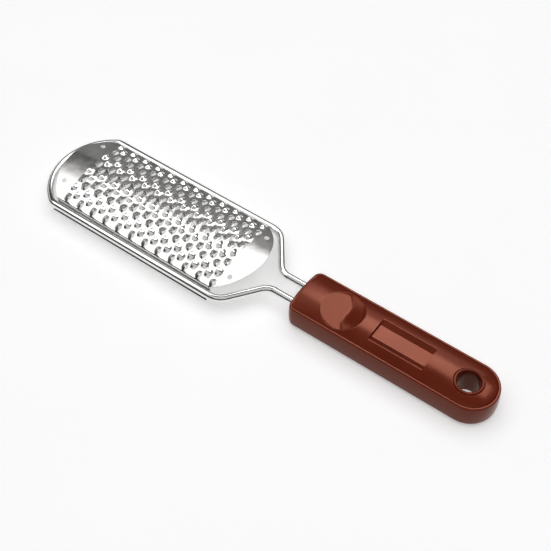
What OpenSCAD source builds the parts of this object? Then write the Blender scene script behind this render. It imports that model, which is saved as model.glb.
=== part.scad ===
// Foot file: a crowned rasp plate hemmed onto a bent wire, with a two shell handle.
// Millimetres. +Z is up and +X runs from the tip of the head to the end of the handle.
// Z is 0 at the underside of the handle, and X and Y are 0 in the middle of the part.

/* [Overall] */
// Length of the head, from the tip of the wire to where the side wires turn in
head_l = 121.6; // [119:0.1:124]
// Width of the head over its two wires
head_w = 55.6; // [55.2:0.1:56.2]
// Length of the neck, from where the side wires turn in to the front of the handle
neck_l = 30.1; // [28:0.1:34]
// Length of the handle
handle_l = 105.1; // [100:0.1:112]
// Height of the wire's centre line above the underside
wire_z = 8.1; // [7.8:0.1:8.4]

/* [Wire] */
// Diameter of the wire
wire_d = 4; // [3.8:0.1:4.2]
// How much larger the tip's bend radius is than half the distance between the side wires
tip_flatness = 4.2; // [3.2:0.1:6.2]
// Bend radius at the two corners beside the tip
corner_bend_r = 6; // [5:0.5:7]
// Bend radius at the shoulders
shoulder_bend_r = 10; // [9:0.5:11]
// Angle at which the wires run in from the shoulders
shoulder_turn = 53; // [52:0.5:54]
// Bend radius where the wires turn back along the handle
neck_bend_r = 8; // [7:0.5:9]
// Distance between the two tangs, centre to centre
tang_spacing = 10.8; // [10.6:0.1:11.2]
// Distance from the end of the tangs to the end of the handle
tang_end_gap = 39.8; // [39:0.1:41]

/* [Rasp plate] */
// Thickness of the sheet
sheet_t = 0.6; // [0.5:0.05:0.7]
// Height of the top of the crown
crown_z = 16; // [15.7:0.1:16.3]
// Radius of the crown across the head
crown_r = 58; // [56:0.5:62]
// How much larger the radius of the plate's edge at the tip is than half the plate's width
plate_tip_flatness = 7.25; // [6.25:0.25:8.25]
// Gap in plan between the plate's edge and the wire at the tip
plate_tip_gap = 3.5; // [3:0.1:4]
// How far the plate reaches past the shoulders, on the centre line
plate_reach = 8.1; // [7.8:0.1:8.4]
// How much larger the radius of the plate's edge at that end is than half the plate's width
plate_heel_flatness = 2.75; // [2.5:0.25:3.25]
// Gap between the wire and the hem around it
hem_clear = 0.05; // [0.05:0.01:0.15]
// How far the hem hangs below the wire's centre line
hem_drop = 0.3; // [0.2:0.05:0.4]
// Angle that the hem wraps around the wire
hem_wrap = 138; // [130:1:145]
// How far the hem runs past the plate's corner at the tip
hem_tip_lap = 0.08; // [0:0.02:0.12]
// How far the hem runs past the plate's corner at the handle end
hem_heel_lap = 1.45; // [0.5:0.05:1.6]

/* [Teeth] */
// Distance between teeth along a row
tooth_pitch = 8.35; // [8.3:0.01:8.4]
// Distance between rows, along the crown
row_pitch = 3.08; // [3:0.01:3.12]
// Least distance along the crown from the middle of a row to the side wall
row_edge_gap = 2.8; // [2.7:0.05:2.85]
// Distance from the plate's edge at the tip to the middle of the first tooth
tooth_tip_gap = 15.7; // [15.5:0.1:15.7]
// Least distance from the plate's edge at the handle end to the middle of a tooth
tooth_heel_gap = 14.2; // [13.8:0.1:14.4]
// Radius of the half dome of a tooth where it leaves the plate
tooth_r = 2.4; // [2.35:0.05:2.4]
// Height of a tooth
tooth_h = 1; // [0.9:0.05:1.1]
// Thickness of the tooth's skin
tooth_wall = 0.45; // [0.4:0.01:0.5]
// How far the opening reaches in front of the lip
mouth_lead = 0.25; // [0.1:0.05:0.3]

/* [Plate holes] */
// Diameter of the four round holes beside the rows
pilot_d = 2.7; // [2.4:0.1:3]
// Distance between the holes across the plate
pilot_spacing = 29.6; // [28:0.2:30]
// Distance from the pair at the tip to the plate's edge there
pilot_tip_gap = 8.1; // [7.8:0.1:8.3]
// Distance from the pair at the handle end to the plate's edge there
pilot_heel_gap = 8.6; // [8.3:0.1:8.9]

/* [Handle] */
// Widest width of the handle
handle_w = 26.9; // [26.6:0.1:27.2]
// How far the side stands in at the rim
rim_taper = 0.35; // [0.25:0.05:0.45]
// How far the side stands in above the rounded lower edge
foot_taper = 0.2; // [0.15:0.05:0.3]
// Height of the widest place
widest_z = 8; // [7:0.2:9]
// Height of the rim
rim_z = 13.9; // [13.8:0.05:14]
// Radius of the lower edge
foot_r = 3.5; // [3:0.1:3.8]
// Radius of the front corners seen from above
front_corner_r = 4; // [3.5:0.1:4.5]
// Radius of the bowed front seen from above
front_bow_r = 76; // [72:1:80]
// Thickness of the floor and the front wall
shell_t = 2; // [1.8:0.1:2.2]
// Width of the rim outside the cover
rim_lip = 1.2; // [1.1:0.05:1.3]
// Width of the ledge that carries the cover
ledge_w = 1; // [0.9:0.05:1.1]
// Height of the handle at the middle of its crown
handle_top_z = 15.4; // [15.3:0.05:15.5]
// Radius of the cover's crown
cover_crown_r = 46.4; // [45.5:0.2:47.5]
// Thickness of the cover
cover_t = 1.8; // [1.7:0.05:1.9]
// Gap between the cover and the lower shell
cover_clear = 0.08; // [0.05:0.01:0.1]
// Gap between a tang and the seats that hold it
tang_clear = 0.08; // [0.05:0.01:0.1]

/* [Thumb recess] */
// Distance from the front of the handle to the middle of the thumb recess
thumb_inset = 23.7; // [23.4:0.1:24.1]
// Radius of the thumb recess
thumb_r = 10.8; // [10.4:0.1:11]
// Depth of its deepest line
thumb_depth = 2.5; // [2.2:0.1:2.6]
// Height of the step at its handle end
thumb_step = 0.8; // [0.6:0.05:1]

/* [Label recess] */
// Distance from the front of the handle to the recess
label_inset = 41.7; // [41.4:0.1:42.4]
// Distance from the recess to the end of the handle
label_end_gap = 34.8; // [34.2:0.1:35.8]
// Width of its flat floor
label_floor_w = 8; // [7.6:0.1:8.4]
// Width of its slopes at the height of the crown's middle
label_mouth_w = 15.4; // [15:0.1:15.8]
// Depth at the middle
label_depth = 1.6; // [1.4:0.05:1.7]

/* [Hang hole] */
// Diameter of the hole
hang_d = 10.7; // [10.5:0.1:11]
// Distance from the middle of the hole to the end of the handle
hang_inset = 14.8; // [14.5:0.1:15.1]
// Width of the raised ring around it
ring_w = 1.8; // [1.7:0.05:1.9]
// Height of the top of that ring
ring_z = 15.7; // [15.6:0.05:15.8]

/* [Inside the handle] */
// Thickness of the ribs that seat the tangs
rib_t = 1.6; // [1.4:0.1:1.8]
// Width of those ribs
rib_w = 18; // [17:0.5:18.5]
// Distance from the front of the handle to the first rib
rib_front_inset = 6.9; // [6.4:0.1:7.4]
// Distance from the second rib to the end of the tangs
rib_mid_gap = 22; // [21.5:0.1:22.5]
// Distance from the third rib to the end of the tangs
rib_rear_gap = 6; // [5.5:0.1:6.5]
// Diameter of the two pegs under the cover
peg_d = 2.6; // [2.4:0.1:2.8]
// Wall of the bosses that the pegs enter
peg_boss_wall = 1.5; // [1.3:0.1:1.6]
// Height of those bosses
peg_boss_z = 8.5; // [8:0.1:9]
// How far a peg reaches into its boss
peg_depth = 3; // [2.5:0.1:3.5]
// Distance from the first peg to the label recess
peg_front_gap = 3.8; // [3.5:0.1:4.1]
// Distance from the second peg to the label recess
peg_rear_gap = 4.5; // [4:0.1:5]

/* [Hidden] */
$fn = 64;
cut_extra = 1;
// A bend is this much fatter than the straight that runs into it, so that the two join cleanly
bend_swell = 0.01;
// How far a piece of wire runs into the fatter bend beside it
join_l = 0.15;
wire_r = wire_d / 2;
fat_r = wire_r + bend_swell;
side_y = head_w / 2 - wire_r;
tang_y = tang_spacing / 2;
overall_l = head_l + neck_l + handle_l;
end_x = overall_l / 2;
shoulder_x = head_l - end_x;
handle_front_x = shoulder_x + neck_l;
tang_end_x = end_x - tang_end_gap;
tip_bend_r = side_y + tip_flatness;
tip_cx = wire_r + tip_bend_r - end_x;
corner_cy = side_y - corner_bend_r;
corner_dx = sqrt(pow(tip_bend_r - corner_bend_r, 2) - pow(corner_cy, 2));
corner_cx = tip_cx - corner_dx;
corner_a = atan2(corner_cy, -corner_dx);
tip_join_a = join_l / tip_bend_r * 180 / PI;
shoulder_in = shoulder_bend_r * tan(shoulder_turn / 2);
shoulder_cx = shoulder_x - shoulder_in;
neck_in = neck_bend_r * tan(shoulder_turn / 2);
neck_x = shoulder_x + (side_y - tang_y) / tan(shoulder_turn);
neck_cx = neck_x + neck_in;
slant_l = (side_y - tang_y) / sin(shoulder_turn) - shoulder_in - neck_in;

hem_ri = wire_r + hem_clear;
hem_ro = hem_ri + sheet_t;
hem_z = wire_z - hem_drop;
wall_out_y = side_y - hem_ri;
crown_cz = crown_z - crown_r;
wall_top_z = crown_cz + sqrt(pow(crown_r, 2) - pow(wall_out_y, 2)) - sheet_t / 4;
crown_half_a = asin((wall_out_y + cut_extra) / crown_r);
plate_tip_r = wall_out_y + plate_tip_flatness;
plate_heel_r = wall_out_y + plate_heel_flatness;
plate_tip_x = wire_d + plate_tip_gap - end_x;
plate_heel_x = shoulder_x + plate_reach;
plate_tip_cx = plate_tip_x + plate_tip_r;
plate_heel_cx = plate_heel_x - plate_heel_r;
plate_l = plate_heel_x - plate_tip_x;
hem_start_x = plate_tip_cx - sqrt(pow(plate_tip_r, 2) - pow(wall_out_y, 2)) - hem_tip_lap;
hem_end_x = plate_heel_cx + sqrt(pow(plate_heel_r, 2) - pow(wall_out_y, 2)) + hem_heel_lap;
hem_l = hem_end_x - hem_start_x;
pilot_tip_x = plate_tip_x + pilot_tip_gap;
pilot_heel_x = plate_heel_x - pilot_heel_gap;

row_step_a = row_pitch / crown_r * 180 / PI;
crown_half_l = crown_r * asin(wall_out_y / crown_r) * PI / 180;
tooth_rows = 2 * floor((crown_half_l - row_edge_gap) / row_pitch) + 1;
first_tooth_x = plate_tip_x + tooth_tip_gap;
row_teeth = floor((plate_heel_x - tooth_heel_gap - first_tooth_x) / tooth_pitch) + 1;
dome_r = (pow(tooth_r, 2) + pow(tooth_h, 2)) / (2 * tooth_h);
dome_c = tooth_h - dome_r;
dome_root = sheet_t / 2;

handle_half = handle_w / 2;
rim_half = handle_half - rim_taper;
foot_half = handle_half - foot_taper;
rear_cx = end_x - handle_half;
body_l = rear_cx - handle_front_x;
pocket_half = rim_half - rim_lip;
cavity_half = pocket_half - ledge_w;
cover_half = pocket_half - cover_clear;
ledge_z = rim_z - (cover_t - cover_clear);
cover_bottom_z = ledge_z + cover_clear;
pocket_front_x = handle_front_x + rim_lip;
pocket_corner_r = front_corner_r - rim_lip;
cover_cz = handle_top_z - cover_crown_r;
hang_x = end_x - hang_inset;
hang_r = hang_d / 2;
ring_r = hang_r + ring_w;
seat_r = wire_r + tang_clear;
peg_r = peg_d / 2;
boss_hole_r = peg_r + cover_clear;
boss_r = boss_hole_r + peg_boss_wall;
thumb_x = handle_front_x + thumb_inset;
thumb_front_x = thumb_x - thumb_r;
thumb_rear_x = thumb_x + thumb_r;
thumb_floor_z = handle_top_z - thumb_depth;
thumb_under_z = thumb_floor_z - cover_t;
label_floor_z = handle_top_z - label_depth;
label_start_x = handle_front_x + label_inset;
label_l = handle_l - label_inset - label_end_gap;
rib_front_x = handle_front_x + rib_front_inset;
rib_mid_x = tang_end_x - rib_mid_gap;
rib_rear_x = tang_end_x - rib_rear_gap;
peg_front_x = label_start_x - peg_front_gap;
peg_rear_x = label_start_x + label_l + peg_rear_gap;

metal_c = [0.78, 0.78, 0.77];
plate_c = [0.7, 0.7, 0.68];
lower_c = [0.42, 0.17, 0.11];
upper_c = [0.5, 0.22, 0.15];

// A straight run of wire from a point in plan, along an angle in plan
module wire_run(x, y, a, l) {
    translate([x, y, wire_z])
        rotate([0, 0, a])
            rotate([0, 90, 0])
                translate([0, 0, -join_l])
                    cylinder(r = wire_r, h = l + 2 * join_l);
}

// A bend of the wire about a point in plan
module wire_bend(x, y, bend_r, a0, sweep, r) {
    translate([x, y, wire_z])
        rotate([0, 0, a0])
            rotate_extrude(angle = sweep)
                translate([bend_r, 0])
                    circle(r = r);
}

// One half of the wire, from the corner beside the tip to the end of its tang
module wire_half() {
    wire_bend(corner_cx, corner_cy, corner_bend_r, 90, corner_a - 90, fat_r);
    wire_run(corner_cx, side_y, 0, shoulder_cx - corner_cx);
    wire_bend(shoulder_cx, side_y - shoulder_bend_r, shoulder_bend_r, 90 - shoulder_turn, shoulder_turn,
        fat_r);
    wire_run(shoulder_cx + shoulder_bend_r * sin(shoulder_turn),
        side_y - shoulder_bend_r * (1 - cos(shoulder_turn)), -shoulder_turn, slant_l);
    wire_bend(neck_cx, tang_y + neck_bend_r, neck_bend_r, 270 - shoulder_turn, shoulder_turn, fat_r);
    wire_run(neck_cx, tang_y, 0, tang_end_x - neck_cx);
}

module wire_frame() {
    color(metal_c)
        union() {
            wire_bend(tip_cx, 0, tip_bend_r, corner_a - tip_join_a, 360 - 2 * (corner_a - tip_join_a), wire_r);
            wire_half();
            mirror([0, 1, 0])
                wire_half();
        }
}

// A bent strip of the sheet, its bend axis along X, swept from angle a0 above +Y
module sheet_bend(x, y, z, ro, a0, sweep, l) {
    translate([x, y, z])
        rotate([a0, 0, 0])
            rotate([90, 0, 90])
                rotate_extrude(angle = sweep)
                    translate([ro - sheet_t, 0])
                        square([sheet_t, l]);
}

module plate_outline() {
    intersection() {
        union() {
            translate([plate_tip_cx, 0])
                circle(r = plate_tip_r);
            translate([plate_heel_cx, 0])
                circle(r = plate_heel_r);
            translate([plate_tip_cx, -wall_out_y])
                square([plate_heel_cx - plate_tip_cx, 2 * wall_out_y]);
        }
        translate([plate_tip_x - cut_extra, -wall_out_y])
            square([plate_l + 2 * cut_extra, 2 * wall_out_y]);
    }
}

// Side wall and hem of one long edge
module plate_side() {
    translate([hem_start_x, wall_out_y - sheet_t, hem_z])
        cube([hem_l, sheet_t, wall_top_z - hem_z]);
    sheet_bend(hem_start_x, side_y, hem_z, hem_ro, 180, hem_wrap, hem_l);
}

// Half of a dome on the plate, its flat side at the tooth's mouth
module half_dome(ball_r, low, high) {
    rotate([0, 0, -90])
        rotate_extrude(angle = 180)
            intersection() {
                translate([0, dome_c])
                    circle(r = ball_r);
                translate([0, low])
                    square([tooth_r + sheet_t, high - low]);
            }
}

// Puts a tooth of one row on the crown, its mouth towards the tip or the handle
module on_crown(row, x, to_handle) {
    side = to_handle ? 1 : -1;
    translate([x + side * tooth_r / 2, 0, crown_cz])
        rotate([-(row - (tooth_rows - 1) / 2) * row_step_a, 0, 0])
            translate([0, 0, crown_r])
                mirror([to_handle ? 1 : 0, 0, 0])
                    children();
}

// Every tooth place of the plate, with the children put on it
module tooth_places() {
    for (row = [0 : tooth_rows - 1]) {
        short_row = row % 2;
        to_handle = (row % 4 == 0) || (row % 4 == 3);
        for (i = [0 : row_teeth - 1 - short_row])
            on_crown(row, first_tooth_x + (i + short_row / 2) * tooth_pitch, to_handle)
                children();
    }
}

module pilot_holes() {
    for (x = [pilot_tip_x, pilot_heel_x])
        for (side = [-1, 1])
            translate([x, side * pilot_spacing / 2, wire_z])
                cylinder(r = pilot_d / 2, h = crown_z);
}

module rasp_plate() {
    color(plate_c)
        difference() {
            union() {
                intersection() {
                    sheet_bend(plate_tip_x - cut_extra, 0, crown_cz, crown_r, 90 - crown_half_a,
                        2 * crown_half_a, plate_l + 2 * cut_extra);
                    linear_extrude(height = crown_z + cut_extra)
                        plate_outline();
                }
                plate_side();
                mirror([0, 1, 0])
                    plate_side();
                tooth_places()
                    half_dome(dome_r, -dome_root, tooth_h);
            }
            tooth_places()
                translate([-mouth_lead, 0, 0])
                    half_dome(dome_r - tooth_wall, -sheet_t - sheet_t / 4, tooth_h);
            pilot_holes();
        }
}

// Half of the handle's outer section
module handle_section() {
    polygon([
        [0, 0],
        [foot_half - foot_r, 0],
        [foot_half, foot_r],
        [handle_half, widest_z],
        [rim_half, rim_z],
        [0, rim_z]
    ]);
    translate([foot_half - foot_r, foot_r])
        circle(r = foot_r);
}

// Plan of a body with a round end and two rounded corners at the front
module handle_plan(x0, half, corner_r) {
    translate([rear_cx, 0])
        circle(r = half);
    translate([x0 + corner_r, -half])
        square([rear_cx - x0 - corner_r, 2 * half]);
    translate([x0, corner_r - half])
        square([2 * corner_r, 2 * (half - corner_r)]);
    for (side = [-1, 1])
        translate([x0 + corner_r, side * (half - corner_r)])
            circle(r = corner_r);
}

// Side view of the front end, with its lower edge rounded
module front_side_view() {
    translate([handle_front_x + foot_r, 0])
        square([body_l, rim_z]);
    translate([handle_front_x, foot_r])
        square([body_l, rim_z - foot_r]);
    translate([handle_front_x + foot_r, foot_r])
        circle(r = foot_r);
}

module handle_outside() {
    intersection() {
        translate([handle_front_x, 0, 0])
            rotate([90, 0, 90])
                linear_extrude(height = body_l)
                    union() {
                        handle_section();
                        mirror([1, 0])
                            handle_section();
                    }
        linear_extrude(height = rim_z)
            intersection() {
                handle_plan(handle_front_x, handle_half, front_corner_r);
                union() {
                    translate([handle_front_x + front_bow_r, 0])
                        circle(r = front_bow_r);
                    translate([handle_front_x + front_bow_r, -handle_half])
                        square([body_l, handle_w]);
                }
            }
        translate([0, handle_half + cut_extra, 0])
            rotate([90, 0, 0])
                linear_extrude(height = handle_w + 2 * cut_extra)
                    front_side_view();
    }
    translate([rear_cx, 0, 0])
        rotate([0, 0, -90])
            rotate_extrude(angle = 180)
                intersection() {
                    handle_section();
                    square([handle_half, rim_z]);
                }
}

// Cross rib from one height to another, with seats for the two tangs
module tang_rib(x, low, high) {
    difference() {
        translate([x - rib_t / 2, -rib_w / 2, low])
            cube([rib_t, rib_w, high - low]);
        tang_seats(x - rib_t, 2 * rib_t);
    }
}

module tang_seats(x, l) {
    for (side = [-1, 1])
        translate([x, side * tang_y, wire_z])
            rotate([0, 90, 0])
                cylinder(r = seat_r, h = l);
}

module handle_lower() {
    color(lower_c)
        difference() {
            union() {
                difference() {
                    handle_outside();
                    translate([handle_front_x + shell_t, -cavity_half, shell_t])
                        cube([body_l - shell_t, 2 * cavity_half, rim_z]);
                    translate([rear_cx, 0, shell_t])
                        cylinder(r = cavity_half, h = rim_z);
                    translate([0, 0, ledge_z])
                        linear_extrude(height = rim_z)
                            handle_plan(pocket_front_x, pocket_half, pocket_corner_r);
                    tang_seats(handle_front_x - cut_extra, shell_t + 2 * cut_extra);
                }
                for (x = [rib_front_x, rib_mid_x, rib_rear_x])
                    tang_rib(x, shell_t, wire_z - tang_clear);
                for (x = [peg_front_x, peg_rear_x])
                    translate([x, 0, shell_t])
                        cylinder(r = boss_r, h = peg_boss_z - shell_t);
                translate([hang_x, 0, 0])
                    cylinder(r = ring_r, h = ring_z - ring_w / 2);
                translate([hang_x, 0, ring_z - ring_w / 2])
                    rotate_extrude()
                        translate([hang_r + ring_w / 2, 0])
                            circle(r = ring_w / 2);
            }
            translate([hang_x, 0, -cut_extra])
                cylinder(r = hang_r, h = ring_z + 2 * cut_extra);
            for (x = [peg_front_x, peg_rear_x])
                translate([x, 0, shell_t])
                    cylinder(r = boss_hole_r, h = peg_boss_z);
        }
}

// The crown of the cover and everything below it
module under_crown(r) {
    translate([0, 0, cover_cz])
        rotate([0, 90, 0])
            cylinder(r = r, h = rear_cx);
    translate([rear_cx, 0, cover_cz])
        sphere(r = r);
}

// What the thumb recess takes away
module thumb_cut() {
    intersection() {
        translate([thumb_x, 0, thumb_under_z])
            cylinder(r = thumb_r, h = rim_z);
        translate([0, thumb_r + cut_extra, 0])
            rotate([90, 0, 0])
                linear_extrude(height = 2 * (thumb_r + cut_extra))
                    polygon([
                        [thumb_front_x - cut_extra, handle_top_z + cut_extra],
                        [thumb_front_x, handle_top_z],
                        [thumb_x, thumb_floor_z],
                        [thumb_rear_x, handle_top_z - thumb_step],
                        [thumb_rear_x + cut_extra, handle_top_z + cut_extra]
                    ]);
    }
}

// What the label recess takes away
module label_cut() {
    translate([label_start_x, 0, 0])
        rotate([90, 0, 90])
            linear_extrude(height = label_l)
                polygon([
                    [-label_floor_w / 2, label_floor_z],
                    [label_floor_w / 2, label_floor_z],
                    [label_mouth_w / 2, handle_top_z],
                    [-label_mouth_w / 2, handle_top_z]
                ]);
}

// Cover without its recesses: the crowned skin, and the material under the recesses
module cover_body() {
    intersection() {
        under_crown(cover_crown_r);
        union() {
            difference() {
                translate([0, 0, cover_bottom_z])
                    linear_extrude(height = rim_z)
                        handle_plan(pocket_front_x + cover_clear, cover_half, pocket_corner_r - cover_clear);
                under_crown(cover_crown_r - cover_t);
            }
            translate([thumb_front_x - cover_t, -cover_half, cover_bottom_z])
                cube([2 * (thumb_r + cover_t), 2 * cover_half, rim_z]);
            translate([thumb_front_x - cover_t, -rib_w / 2, thumb_under_z])
                cube([2 * (thumb_r + cover_t), rib_w, rim_z]);
            translate([label_start_x - cover_t, -label_mouth_w / 2, label_floor_z - cover_t])
                cube([label_l + 2 * cover_t, label_mouth_w, rim_z]);
            for (x = [rib_front_x, rib_mid_x, rib_rear_x])
                tang_rib(x, wire_z + tang_clear, rim_z);
            for (x = [peg_front_x, peg_rear_x])
                translate([x, 0, peg_boss_z - peg_depth])
                    cylinder(r = peg_r, h = rim_z - peg_boss_z + peg_depth);
        }
    }
}

module handle_upper() {
    color(upper_c)
        difference() {
            cover_body();
            thumb_cut();
            label_cut();
            translate([hang_x, 0, 0])
                cylinder(r = ring_r + cover_clear, h = ring_z + cut_extra);
        }
}

wire_frame();
rasp_plate();
handle_lower();
handle_upper();
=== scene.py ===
"""Foot file: a plated wire loop, a pressed rasp plate and a two shell handle, with a small studio.

Metres. +X runs from the tip of the head to the end of the handle, +Z is up out of the toothed side, and Z is
0 at the underside of the handle. The fixed frame gives the places, the settings give the finer sizes.
"""

import bisect
import math

import bmesh
import bpy
from bpy.props import FloatProperty, FloatVectorProperty, IntProperty, PointerProperty
from mathutils import Matrix, Vector
from mathutils.geometry import delaunay_2d_cdt


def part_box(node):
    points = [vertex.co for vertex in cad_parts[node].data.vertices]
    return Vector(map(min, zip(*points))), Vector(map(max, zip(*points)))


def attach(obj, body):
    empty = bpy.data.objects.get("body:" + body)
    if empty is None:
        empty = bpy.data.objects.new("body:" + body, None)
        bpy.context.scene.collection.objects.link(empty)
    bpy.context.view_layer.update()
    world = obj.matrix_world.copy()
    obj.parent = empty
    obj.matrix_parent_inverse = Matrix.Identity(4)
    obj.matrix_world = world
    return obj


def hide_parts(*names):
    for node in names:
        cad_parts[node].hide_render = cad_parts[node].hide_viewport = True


bl_info = {
    "name": "Foot File",
    "version": (1, 0, 0),
    "blender": (4, 5, 0),
    "location": "3D View > Sidebar > Foot File",
    "description": "Builds the visual model of a foot file and the studio that it is shown in",
    "category": "Add Mesh",
}

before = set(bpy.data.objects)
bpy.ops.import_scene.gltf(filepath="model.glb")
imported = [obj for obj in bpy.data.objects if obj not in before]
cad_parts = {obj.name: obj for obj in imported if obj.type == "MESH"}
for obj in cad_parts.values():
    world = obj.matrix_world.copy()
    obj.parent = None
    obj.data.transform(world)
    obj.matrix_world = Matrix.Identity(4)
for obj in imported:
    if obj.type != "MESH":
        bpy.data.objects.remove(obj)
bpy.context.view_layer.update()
wire_low, wire_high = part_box("wire_frame")
plate_low, plate_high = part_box("rasp_plate")
lower_low, lower_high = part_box("handle_lower")
upper_low, upper_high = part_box("handle_upper")

BODY = "root"
FULL_TURN = 2 * math.pi
QUARTER_TURN = math.pi / 2
# Height of the wire's centre line
ROD_HEIGHT = (wire_low.z + wire_high.z) / 2
# Points closer together than this are one point
WELD = 1e-6
# Edges that turn by more than this stay sharp
CREASE = math.radians(40)
# Ring spacing on the wire's straight runs and bends, and its sides
STRAIGHT_STEP = 0.006
BEND_STEP = math.radians(3)
ROD_SIDES = 32
# Mesh spacing of the plate, and facets of its bends, teeth and holes
PLATE_STEP = 0.0014
BEND_FACET = math.radians(14)
TOOTH_STEPS = 12
LEAD_STEPS = 8
DOME_RINGS = 6
# Powers of a tooth's height, which rises softly out of the sheet, and of its thinning towards the lip
DOME_POWER = 1.5
LIP_POWER = 3
PILOT_SIDES = 24
# Mesh spacing of the cover, and facets of the handle's outline, its rounded edges, holes and thumb recess
COVER_STEP = 0.0004
END_STEPS = 24
CORNER_STEPS = 10
BOW_STEPS = 8
SIDE_STEP = 0.004
FOOT_STEPS = 10
WALL_STEPS = 8
RIM_STEPS = 6
RIM_INNER_STEPS = 4
CREST_STEPS = 8
EDGE_STEPS = 5
HOLE_SIDES = 64
SEAT_SIDES = 48
THUMB_SIDES = 120
THUMB_RINGS = 6
# Gaps around the cover and around each tang, and the cut for a tang: where it starts and its length
COVER_GAP = 0.00008
SEAT_GAP = 0.00008
SEAT_START = 0.002
SEAT_LENGTH = 0.0045
# The smallest edge radii, on the rim's inside and around the ring
RIM_INNER_EDGE = 0.00015
COLLAR_EDGE = 0.00012
# The thumb recess's lowest line: its rounding, how it leans and bows, and how it swings back on each side
THUMB_BLEND = 0.0003
VALLEY_LEAN = 0.2
VALLEY_BOW = 0.57
VALLEY_SWING_NEAR = 4.7
VALLEY_SWING_FAR = 2
# Gloss from and to, height and scale of the waves, and height of the fine lines
PLATING = {"gloss": (0.08, 0.16), "wave": 0.000003, "wave_scale": 150, "hair": 0.0000015}
SHEET = {"gloss": (0.17, 0.24), "wave": 0.000006, "wave_scale": 260, "hair": 0.000002}
# Width of the camera's sensor in millimetres
SENSOR_WIDTH = 36
# Lamps that face down and are only mirrored: name, width, depth, place, direction of the depth in plan,
# and the setting that holds the brightness
MIRRORED_LAMPS = [
    ("strip_lamp", 0.4, 2.2, (-0.5, 0.3, 1), (0.315, 0.949), "strip_light"),
    ("window_lamp", 0.68, 0.44, (-0.04, 0.66, 0.99), (0, 1), "window_light"),
    ("pale_panel", 1.7, 1.7, (0.75, -0.75, 1.2), (0, 1), "panel_light"),
    ("grey_card", 9, 6, (0, 4.1, 1.25), (0, 1), "card_light"),
    ("tip_card", 1.2, 1.3, (-1.48, 0.08, 0.62), (0, 1), "side_light"),
    ("near_card", 1.1, 1.5, (-0.7, -0.59, 1.31), (0.643, -0.766), "side_light"),
]
# Side and height of the lamp for the plain light, which isn't mirrored
SOFT_SIZE = 3
SOFT_HEIGHT = 1.8


def length(name, description, default):
    """A size in metres, shown in the scene's own unit."""
    return FloatProperty(name=name, description=description, default=default, unit="LENGTH", precision=5)


def angle(name, description, degrees):
    """An angle, written here in degrees."""
    return FloatProperty(name=name, description=description, default=math.radians(degrees), subtype="ANGLE")


def share(name, description, default):
    """A plain number, mostly from 0 to 1."""
    return FloatProperty(name=name, description=description, default=default, precision=4)


def colour(name, description, default):
    """A linear colour."""
    limits = {"min": 0, "max": 1}
    return FloatVectorProperty(name=name, description=description, default=default, subtype="COLOR", **limits)


class WireSettings(bpy.types.PropertyGroup):
    """Sizes of the bent wire."""

    rod_radius: length("Rod radius", "Half the thickness of the wire", 0.002)
    tip_radius: length("Tip radius", "Bend radius of the wire at the tip", 0.03)
    corner_radius: length("Corner radius", "Bend radius at the corners beside the tip", 0.006)
    shoulder_place: length("Shoulder place", "Where the side wires turn in", lower_low.x - 0.0301)
    shoulder_radius: length("Shoulder radius", "Bend radius at the shoulders", 0.01)
    shoulder_turn: angle("Shoulder turn", "Angle at which the wires run in", 53)
    neck_radius: length("Neck radius", "Bend radius where the wires turn back", 0.008)
    tang_spacing: length("Tang spacing", "Distance between the tangs, centre to centre", 0.0108)
    metal: colour("Metal", "Colour of the plating", (0.8, 0.8, 0.79))


class PlateSettings(bpy.types.PropertyGroup):
    """Sizes of the pressed sheet and its teeth."""

    thickness: length("Thickness", "Thickness of the sheet", 0.0006)
    crown_top: length("Crown top", "Height of the top of the crown", 0.016)
    crown_radius: length("Crown radius", "Radius of the crown across the head", 0.058)
    bend_radius: length("Bend radius", "Outer radius of the bend along each long edge", 0.001)
    hem_gap: length("Hem gap", "Gap between the wire and the hem", 0.00005)
    hem_drop: length("Hem drop", "How far the hem hangs below the wire's centre", 0.0003)
    hem_wrap: angle("Hem wrap", "Angle that the hem wraps around the wire", 138)
    tip_radius: length("Tip edge radius", "Radius of the plate's edge at the tip", 0.031)
    heel_radius: length("Heel edge radius", "Radius of the plate's edge at the handle end", 0.0265)
    hem_start: length("Hem start", "Where the hem starts at the tip", plate_low.x + 0.011)
    hem_finish: length("Hem end", "Where the hem ends at the handle end", plate_high.x - 0.0133)
    rows: IntProperty(name="Rows", description="Rows of teeth across the plate", default=15, min=1)
    row_teeth: IntProperty(name="Teeth in a row", description="Teeth in each longer row", default=12, min=1)
    tooth_pitch: length("Tooth pitch", "Distance between teeth along a row", 0.00835)
    row_pitch: length("Row pitch", "Distance between rows along the crown", 0.00308)
    first_tooth: length("First tooth", "Middle of the first tooth of the longer rows", plate_low.x + 0.0157)
    mouth_shift: length("Mouth shift", "From the middle of a tooth to its mouth", 0.0012)
    tooth_reach: length("Tooth reach", "From the mouth to the back of a tooth", 0.0025)
    tooth_half: length("Tooth half width", "Half the width of a mouth", 0.0024)
    tooth_height: length("Tooth height", "Height of the lip above the sheet", 0.001)
    mouth_lead: length("Mouth lead", "How far the opening reaches in front of the lip", 0.001)
    lip_share: share("Lip share", "Share of the thickness that is left at the lip", 0.45)
    pilot_radius: length("Pilot radius", "Radius of the four round holes", 0.00135)
    pilot_spacing: length("Pilot spacing", "Distance between the holes across the plate", 0.0296)
    pilot_tip: length("Pilot place at the tip", "Position of the pair at the tip", plate_low.x + 0.0081)
    pilot_heel: length("Pilot place at the heel", "Position of the other pair", plate_high.x - 0.0086)
    metal: colour("Metal", "Colour of the rolled sheet", (0.8, 0.79, 0.775))


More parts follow.
